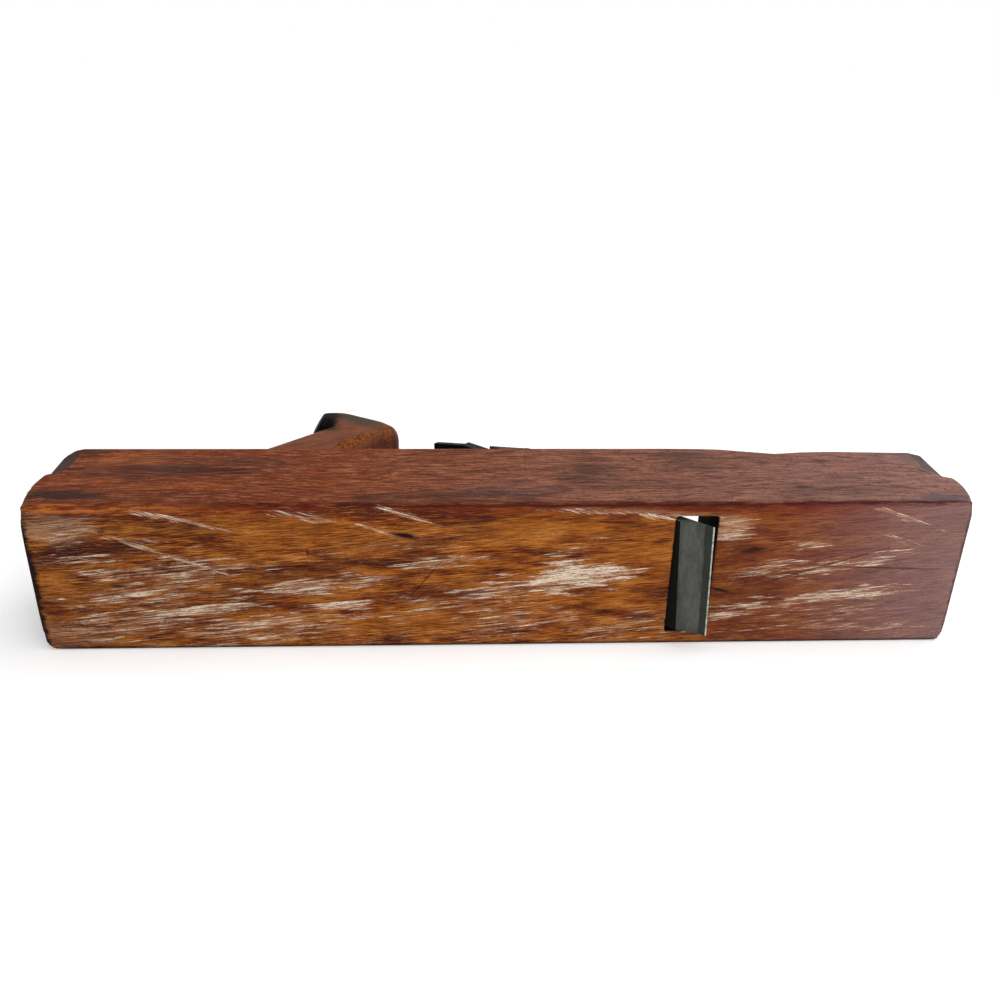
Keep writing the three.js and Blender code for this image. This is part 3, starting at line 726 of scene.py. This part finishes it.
def stockMaterial(look):
    material, tree, shader = newMaterial("stockWood")
    tint = tintsOf(look["tints"])
    spot = put(tree, "ShaderNodeTexCoord")
    place = spot.outputs["Object"]
    x, y, z = split(tree, place)
    nx, ny = split(tree, spot.outputs["Normal"])[:2]
    grain = useGroup(tree, woodGrain, Place=stretched(tree, place, (1, 0.36, 0.8)))
    ragged = noiseOn(tree, stretched(tree, place, (50, 320, 320)), 1.0, 4.0, 0.6)
    broadCloud = noiseOn(tree, stretched(tree, place, (32, 150, 150)), 1.0, 5.0, 0.66)
    on = {
        "place": place, "x": x, "y": y, "z": z, "nx": nx,
        "sole": joined(tree, x, z, 0.0), "cheek": joined(tree, x, y, 0.0),
        "streak": grain["Streak"], "band": grain["Band"], "pore": grain["Pore"],
        "ragged": times(tree, maths(tree, "SUBTRACT", ragged, 0.5), 3.6),
        "cloud": noiseOn(tree, stretched(tree, place, (14, 45, 45)), 1.0, 4.0, 0.6),
        "broadCloud": between(tree, broadCloud, 0.32, 0.68),
    }
    tone = cheekTone(tree, look, on, tint)
    deckSide = times(tree, between(tree, ny, 0.4, 0.8), between(tree, y, *look["deckFace"]))
    tone = blend(tree, deckSide, tone, deckTone(tree, look, on, tint, tone))

    torn = tornFibres(tree, look, on)
    soleSide = times(tree, between(tree, ny, -0.3, -0.8), between(tree, y, *look["soleFace"]))
    scraped = times(tree, torn["stroke"], soleSide)
    dark = patchesOn(tree, on["sole"], times(tree, on["ragged"], 0.5), look["soleMarks"]["dark"])
    tone = blend(tree, soleSide, tone, soleTone(tree, look, on, tint, torn, dark))

    endSide = times(tree, between(tree, maths(tree, "ABSOLUTE", nx), 0.55, 0.85),
                    between(tree, maths(tree, "ABSOLUTE", x), *look["endFaces"]))
    tone = blend(tree, endSide, tone, endTone(tree, on, tint))
    tone = arrisTone(tree, look, on, tint, tone)
    grit = between(tree, grain["Grit"], 0.5, 0.0, 0.0, look["strength"]["grit"])
    tone = blend(tree, grit, tone, tint["cheekDark"])
    # painted shade: the grimy wood inside the throat goes near black, and fully rough
    throatGrimeAndShade = look["throatGrimeAndShade"]
    along, across = (maths(tree, "ABSOLUTE", maths(tree, "SUBTRACT", axis, middle))
                     for axis, middle in zip((x, z), throatGrimeAndShade["middle"]))
    throatShadeMask = times(tree, between(tree, across, *throatGrimeAndShade["z"]),
                   between(tree, maths(tree, "ABSOLUTE", y), *throatGrimeAndShade["y"]),
                   between(tree, along, *throatGrimeAndShade["x"]))
    feed(tree, shader.inputs["Base Color"], blend(tree, throatShadeMask, tone, tint["throatGrimeAndShade"]))

    rough = between(tree, on["cloud"], 0.3, 0.7, 0.42, 0.6)
    rough = maths(tree, "ADD", rough, times(tree, scraped, 0.25))
    feed(tree, shader.inputs["Roughness"], maths(tree, "MAXIMUM", rough, throatShadeMask))
    height = maths(tree, "SUBTRACT", times(tree, on["streak"], 0.6), times(tree, on["pore"], 0.5))
    height = maths(tree, "ADD", height, times(tree, torn["fibre"], soleSide, 0.6))
    bumpOn(tree, shader, height, look["bump"], 0.0002)
    shader.inputs["Specular IOR Level"].default_value = look["specular"]
    return material


def makeStock(look):
    piece = copyOfNode("stock", "stockBody")
    softSkin(piece, look["voxel"], look["smoothing"])
    chipArrises(piece, look["arrises"])
    pressDents(piece, look["dents"] + look["swells"])
    storeArris(piece, look["arrisGain"])
    thinOut(piece, look["triangles"])
    keepInside(piece, "stock")
    smoothShade(piece, 40)
    handOver(piece, "stock", "stock", stockMaterial(look))


makeStock(stockLook)
print("stock made")


# the tote

toteLook = {
    "voxel": 0.0007,
    "smoothing": 2,
    "triangles": 100000,
    "roughness": 0.42,
    "specular": 0.08,
    "grainTilt": -24,
    # painted shade on the underside of the horn
    "horn": {"x": (-0.0862, -0.0934), "y": (0.0835, 0.0905)},
    "strength": {"streakDark": 0.55, "streakPale": 0.35, "pore": 0.6, "grit": 0.25},
    "tints": {
        "flat": (134, 76, 46), "dark": (56, 24, 14), "pale": (170, 110, 76), "band": (150, 80, 14),
        "bandDark": (82, 34, 12), "grey": (76, 64, 50), "horn": (14, 5, 4), "front": (74, 28, 26),
    },
    # rows of (x, y, half length, half height, tilt in degrees, strength) on the side, in mm
    "bandPatches": (
        (-83, 68.5, 9, 3.6, 52, 1), (-75, 78.5, 10, 4, 52, 1), (-64.5, 87.5, 9, 3.8, 30, 0.95),
    ),
    "greyPatches": (
        (-78.5, 103, 19, 7, -38, 1), (-95, 113, 12, 5, -10, 0.8), (-128, 72, 16, 4, 30, 0.5),
    ),
    "frontPatches": ((-57, 71, 13, 16, 0, 1), (-54, 84, 6, 12, 0, 1)),
}


def toteMaterial(look):
    material, tree, shader = newMaterial("toteWood")
    tint, strength = tintsOf(look["tints"]), look["strength"]
    place = put(tree, "ShaderNodeTexCoord").outputs["Object"]
    x, y = split(tree, place)[:2]
    lengthwise = turned(tree, place, math.radians(look["grainTilt"]))
    grain = useGroup(tree, woodGrain, Place=lengthwise, Length=0.018, Width=0.0007)
    ragged = noiseOn(tree, stretched(tree, place, (220, 220, 220)), 1.0, 4.0, 0.65)
    ragged = times(tree, maths(tree, "SUBTRACT", ragged, 0.5), 1.4)
    cloud = noiseOn(tree, place, 60, 4.0, 0.6)
    flatPlace = joined(tree, x, y, 0.0)
    tone = blend(tree, between(tree, cloud, 0.3, 0.7, 0.0, 0.6), tint["flat"], tint["dark"])
    tone = blend(tree, 0.5, tone, tint["flat"])
    streak = times(tree, between(tree, grain["Streak"], 0.55, 0.0), strength["streakDark"])
    tone = blend(tree, streak, tone, tint["dark"])
    streak = times(tree, between(tree, grain["Streak"], 0.6, 1.0), strength["streakPale"])
    tone = blend(tree, streak, tone, tint["pale"])
    front = patchesOn(tree, flatPlace, ragged, look["frontPatches"])
    tone = blend(tree, front, tone, tint["front"])
    mottle = between(tree, noiseOn(tree, place, 700, 2.0, 0.6), 0.4, 0.6)
    mottled = blend(tree, mottle, tint["bandDark"], tint["band"])
    band = patchesOn(tree, flatPlace, ragged, look["bandPatches"])
    tone = blend(tree, band, tone, mottled)
    grey = patchesOn(tree, flatPlace, ragged, look["greyPatches"])
    tone = blend(tree, grey, tone, tint["grey"])
    tone = blend(tree, times(tree, grain["Pore"], strength["pore"]), tone, tint["dark"])
    grit = between(tree, grain["Grit"], 0.5, 0.0, 0.0, strength["grit"])
    tone = blend(tree, grit, tone, tint["dark"])
    # painted shade: the underside of the horn goes near black
    reach = maths(tree, "ADD", x, times(tree, ragged, 0.003))
    limits = look["horn"]
    horn = times(tree, between(tree, reach, *limits["x"]), between(tree, y, *limits["y"]))
    feed(tree, shader.inputs["Base Color"], blend(tree, horn, tone, tint["horn"]))
    rough = between(tree, cloud, 0.3, 0.7, look["roughness"] - 0.06, look["roughness"] + 0.12)
    feed(tree, shader.inputs["Roughness"], rough)
    bumpOn(tree, shader, maths(tree, "SUBTRACT", grain["Streak"], grain["Pore"]), 0.4, 0.0002)
    shader.inputs["Specular IOR Level"].default_value = look["specular"]
    return material


def makeTote(look):
    piece = copyOfNode("tote", "toteHandle")
    softSkin(piece, look["voxel"], look["smoothing"])
    thinOut(piece, look["triangles"])
    keepInside(piece, "tote")
    smoothShade(piece, 60)
    handOver(piece, "stock", "tote", toteMaterial(look))


makeTote(toteLook)
print("tote made")


# the irons

ironLook = {
    "down": (0.7068136, -0.7068136, 0.0287940),
    "bed": (-0.7071, -0.7071, 0),
    "bevelWidth": 0.00018,
    "metallic": 0.35,
    "specular": 0.15,
    # how far up from the edge a line lies at each side: its slope, then where it fades in
    "lip": (0.0174, -0.0013, -0.0010),
    "honed": (0.025, -0.0046, -0.0041),
    "bedShade": (0.0407, -0.0146, -0.0151),
    "tints": {
        "steel": (92, 94, 88), "dark": (40, 42, 39), "rust": (58, 48, 38), "hone": (40, 48, 40),
        # the last two here are a painted highlight along the cutting edge and painted shade
        "edgeHighlight": (212, 214, 204), "nearBlack": (8, 7, 7),
    },
}
capLook = {
    "bevelWidth": 0.0002,
    "metallic": 0.3,
    "specular": 0.15,
    "tints": {"steel": (36, 34, 33), "dark": (16, 15, 15), "rust": (52, 34, 26)},
}
screwLook = {
    "bevelWidth": 0.0002,
    "metallic": 0.5,
    "specular": 0.15,
    "tints": {"steel": (64, 62, 58), "dark": (26, 25, 24), "rust": (60, 42, 32)},
}
bossLook = {
    "bevelWidth": 0.0003,
    "metallic": 0.7,
    "tints": {"brass": (130, 104, 56), "dark": (56, 42, 24)},
}


def bevelTone(tree, look, tint, place, normal, tone):
    # the ground bevel: a honed strip with a painted highlight along the edge; the back face seen by the
    # bed and the iron further up inside the throat are painted near black as shade
    low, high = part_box("cutting_iron")
    corners = [point.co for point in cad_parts["cutting_iron"].data.vertices]
    edge = max(Vector(look["down"]).dot(corner) for corner in corners)
    down = vectorMaths(tree, "DOT_PRODUCT", place, look["down"], output=1)
    down = maths(tree, "SUBTRACT", down, edge)
    side = maths(tree, "SUBTRACT", split(tree, place)[2], (low.z + high.z) / 2)

    def sloping(slope):
        return maths(tree, "ADD", down, times(tree, side, slope))

    slope, start, full = look["honed"]
    honed = sloping(slope)
    wander = noiseOn(tree, place, 420, 3.0, 0.6)
    honed = maths(tree, "ADD", honed, times(tree, maths(tree, "SUBTRACT", wander, 0.5), 0.0012))
    honed = times(tree, between(tree, honed, start, full), 0.85)
    tone = blend(tree, honed, tone, tint["hone"])
    # painted highlight: a bright line along the cutting edge
    slope, start, full = look["lip"]
    lip = between(tree, sloping(slope), start, full)
    lip = times(tree, lip, between(tree, wander, 0.35, 0.6, 0.35, 1.0))
    tone = blend(tree, lip, tone, tint["edgeHighlight"])
    # painted shade: the back face seen in the gap by the bed, and the iron further up inside the throat,
    # go near black
    facing = vectorMaths(tree, "DOT_PRODUCT", normal, look["bed"], output=1)
    slope, start, full = look["bedShade"]
    back = sloping(slope)
    bedShade = times(tree, between(tree, facing, 0.955, 0.985), between(tree, back, start, full))
    shadeUpIron = between(tree, down, -0.030, -0.034, 0.0, 0.8)
    return blend(tree, maths(tree, "MAXIMUM", bedShade, shadeUpIron), tone, tint["nearBlack"])


def steelMaterial(name, look):
    material, tree, shader = newMaterial(name)
    tint = tintsOf(look["tints"])
    spot = put(tree, "ShaderNodeTexCoord")
    place = spot.outputs["Object"]
    cloud = noiseOn(tree, stretched(tree, place, (130, 130, 60)), 1.0, 5.0, 0.66)
    scratch = noiseOn(tree, stretched(tree, place, (1500, 1500, 90)), 1.0, 4.0, 0.6)
    pit = between(tree, noiseOn(tree, place, 900, 3.0, 0.6), 0.6, 0.72)
    tone = blend(tree, between(tree, cloud, 0.34, 0.62), tint["dark"], tint["steel"])
    tone = blend(tree, 0.45, tone, tint["steel"])
    tone = blend(tree, times(tree, between(tree, scratch, 0.5, 0.7), 0.3), tone, tint["dark"])
    tone = blend(tree, times(tree, between(tree, cloud, 0.6, 0.75), 0.4), tone, tint["rust"])
    tone = blend(tree, times(tree, pit, 0.5), tone, tint["dark"])
    if "bed" in look:
        tone = bevelTone(tree, look, tint, place, spot.outputs["Normal"], tone)
    feed(tree, shader.inputs["Base Color"], tone)
    shader.inputs["Metallic"].default_value = look["metallic"]
    shader.inputs["Specular IOR Level"].default_value = look["specular"]
    feed(tree, shader.inputs["Roughness"], between(tree, cloud, 0.2, 0.8, 0.66, 0.48))
    bumpOn(tree, shader, maths(tree, "SUBTRACT", times(tree, scratch, 0.5), pit), 0.35, 0.0001)
    return material


def brassMaterial(name, look):
    material, tree, shader = newMaterial(name)
    tint = tintsOf(look["tints"])
    place = put(tree, "ShaderNodeTexCoord").outputs["Object"]
    cloud = noiseOn(tree, place, 220, 4.0, 0.6)
    feed(tree, shader.inputs["Base Color"],
         blend(tree, between(tree, cloud, 0.35, 0.65), tint["brass"], tint["dark"]))
    shader.inputs["Metallic"].default_value = look["metallic"]
    feed(tree, shader.inputs["Roughness"], between(tree, cloud, 0.3, 0.7, 0.38, 0.62))
    bumpOn(tree, shader, cloud, 0.3, 0.0001)
    return material


def makeMetal(node, name, body, slotName, look, material):
    piece = copyOfNode(node, name)
    bevelEdges(piece, look["bevelWidth"], 20)
    keepInside(piece, node)
    smoothShade(piece, 18)
    handOver(piece, body, node, material)


for values in (
    ("cutting_iron", "ironBlade", "iron", "iron_steel", ironLook, steelMaterial("ironSteel", ironLook)),
    ("cap_iron", "capPlate", "cap", "cap_steel", capLook, steelMaterial("capSteel", capLook)),
    ("cap_boss", "bossRound", "cap", "boss_brass", bossLook, brassMaterial("bossBrass", bossLook)),
    ("cap_screw", "screwTurned", "screw", "screw_steel", screwLook,
     steelMaterial("screwSteel", screwLook)),
):
    makeMetal(*values)
print("irons made")


# the wedge

wedgeLook = {
    "voxel": 0.0006,
    "smoothing": 1,
    "triangles": 80000,
    "roughness": 0.55,
    "specular": 0.2,
    "grainTilt": 45,
    "head": (-0.0040, 0.0599, 0.0381),
    "down": (0.7068136, -0.7068136, 0),
    "strength": {"streak": 0.7, "pore": 0.6},
    "tints": {
        "wood": (112, 68, 48), "dark": (44, 26, 20), "grey": (104, 90, 80), "battered": (62, 48, 42),
        "nearBlack": (16, 11, 10),
    },
}


def wedgeMaterial(look):
    material, tree, shader = newMaterial("wedgeWood")
    tint, strength = tintsOf(look["tints"]), look["strength"]
    place = put(tree, "ShaderNodeTexCoord").outputs["Object"]
    x = split(tree, place)[0]
    lengthwise = turned(tree, place, math.radians(look["grainTilt"]))
    grain = useGroup(tree, woodGrain, Place=lengthwise, Length=0.02, Width=0.0006)
    cloud = noiseOn(tree, stretched(tree, lengthwise, (30, 120, 120)), 1.0, 4.0, 0.6)
    tone = blend(tree, between(tree, cloud, 0.35, 0.7, 0.0, 0.55), tint["wood"], tint["grey"])
    streak = times(tree, between(tree, grain["Streak"], 0.6, 0.0), strength["streak"])
    tone = blend(tree, streak, tone, tint["dark"])
    tone = blend(tree, times(tree, grain["Pore"], strength["pore"]), tone, tint["dark"])
    down = vectorMaths(tree, "DOT_PRODUCT", vectorMaths(tree, "SUBTRACT", place, look["head"]),
                       look["down"], output=1)
    head = between(tree, down, 0.010, 0.003)
    bruise = between(tree, noiseOn(tree, place, 500, 3.0, 0.6), 0.4, 0.6, 0.3, 1.0)
    tone = blend(tree, times(tree, head, bruise), tone, tint["battered"])
    # the heel side of the head goes near black
    tone = blend(tree, times(tree, between(tree, x, 0.004, -0.002), head), tone, tint["nearBlack"])
    feed(tree, shader.inputs["Base Color"], tone)
    feed(tree, shader.inputs["Roughness"], between(tree, cloud, 0.3, 0.7, look["roughness"] - 0.1, 0.7))
    bumpOn(tree, shader, maths(tree, "SUBTRACT", grain["Streak"], grain["Pore"]), 0.45, 0.0002)
    shader.inputs["Specular IOR Level"].default_value = look["specular"]
    return material


def makeWedge(look):
    piece = copyOfNode("wedge", "wedgeBody")
    softSkin(piece, look["voxel"], look["smoothing"])
    thinOut(piece, look["triangles"])
    keepInside(piece, "wedge")
    smoothShade(piece, 50)
    handOver(piece, "wedge", "wedge", wedgeMaterial(look))


makeWedge(wedgeLook)
print("wedge made")


# studio

studioLook = {
    "cameraPlace": (-0.0272, -0.43094, 0.2737),
    "yaw": 3.33, "pitch": 26.2, "roll": 1.279,
    "focal": 992.6,  # in pixels of a picture 1000 wide
    "sensor": 36,  # in mm
    "floorSize": 8, "floor": 0.9, "floorRoughness": 0.9, "floorSpecular": 0.1,
    "floorLift": 0.31, "floorFade": (0.3, 0.9),
    "worldLight": 0.34,
    "mirroredWhite": 0.35,  # how much of the white background shows in metal
    "lamps": (
        {"name": "topLamp", "place": (0.25, -0.1, 1.1), "size": 1.1, "watts": 7.5},
        {"name": "frontLamp", "place": (0.5, -1.2, 0.5), "size": 0.9, "watts": 7},
        {"name": "backLamp", "place": (0.9, 0.7, 0.55), "size": 0.6, "watts": 3.5},
    ),
    "aim": (0, 0, 0.04),
}


def makeCamera(look):
    yaw, pitch, roll = (math.radians(look[key]) for key in ("yaw", "pitch", "roll"))
    ahead = math.cos(pitch)
    forward = Vector((math.sin(yaw) * ahead, math.cos(yaw) * ahead, -math.sin(pitch)))
    level = Vector((math.cos(yaw), -math.sin(yaw), 0))
    upright = level.cross(forward)
    right = level * math.cos(roll) + upright * math.sin(roll)
    up = upright * math.cos(roll) - level * math.sin(roll)
    lens = bpy.data.cameras.new("camera")
    lens.sensor_width = look["sensor"]
    lens.lens = look["focal"] / 1000 * lens.sensor_width
    lens.clip_start = 0.01
    lens.clip_end = 20
    camera = bpy.data.objects.new("camera", lens)
    turn = Matrix((right, up, -forward)).transposed().to_4x4()
    camera.matrix_world = Matrix.Translation(look["cameraPlace"]) @ turn
    scene.collection.objects.link(camera)
    scene.camera = camera


def makeStudio(look):
    bpy.ops.object.select_all(action="DESELECT")
    bpy.ops.mesh.primitive_plane_add(size=look["floorSize"], location=(0, 0, 0))
    floor = bpy.context.active_object
    floor.name = "floor"
    material, tree, shader = newMaterial("floorWhite")
    shader.inputs["Base Color"].default_value = (look["floor"], look["floor"], look["floor"], 1)
    shader.inputs["Roughness"].default_value = look["floorRoughness"]
    shader.inputs["Specular IOR Level"].default_value = look["floorSpecular"]
    rays = put(tree, "ShaderNodeLightPath")
    seen = rays.outputs["Is Camera Ray"]
    lift = put(tree, "ShaderNodeEmission")
    place = put(tree, "ShaderNodeTexCoord").outputs["Object"]
    away = vectorMaths(tree, "LENGTH", place, output=1)
    glow = between(tree, away, *look["floorFade"], look["floorLift"], 1.0)
    feed(tree, lift.inputs["Strength"], times(tree, seen, glow))
    both = put(tree, "ShaderNodeAddShader")
    tree.links.new(shader.outputs[0], both.inputs[0])
    tree.links.new(lift.outputs[0], both.inputs[1])
    tree.links.new(both.outputs[0], tree.nodes["Material Output"].inputs["Surface"])
    floor.data.materials.append(material)

    world = bpy.data.worlds.new("studio")
    scene.world = world
    world.use_nodes = True
    tree = world.node_tree
    background = tree.nodes["Background"]
    rays = put(tree, "ShaderNodeLightPath")
    seen = maths(tree, "MAXIMUM", rays.outputs["Is Camera Ray"], rays.outputs["Is Transmission Ray"])
    mirrored = times(tree, rays.outputs["Is Glossy Ray"], look["mirroredWhite"])
    seen = maths(tree, "MAXIMUM", seen, mirrored)
    level = put(tree, "ShaderNodeMapRange")
    feed(tree, level.inputs[0], seen)
    level.inputs[3].default_value = look["worldLight"]
    level.inputs[4].default_value = 1.0
    feed(tree, background.inputs["Strength"], level.outputs[0])
    background.inputs["Color"].default_value = (1, 1, 1, 1)

    for lamp in look["lamps"]:
        light = bpy.data.lights.new(lamp["name"], "AREA")
        light.shape = "DISK"
        light.size = lamp["size"]
        light.energy = lamp["watts"]
        holder = bpy.data.objects.new(lamp["name"], light)
        holder.location = lamp["place"]
        aim = Vector(look["aim"]) - holder.location
        holder.rotation_euler = aim.to_track_quat("-Z", "Y").to_euler()
        scene.collection.objects.link(holder)


makeCamera(studioLook)
makeStudio(studioLook)
scene.view_settings.view_transform = "Standard"
print("studio made")
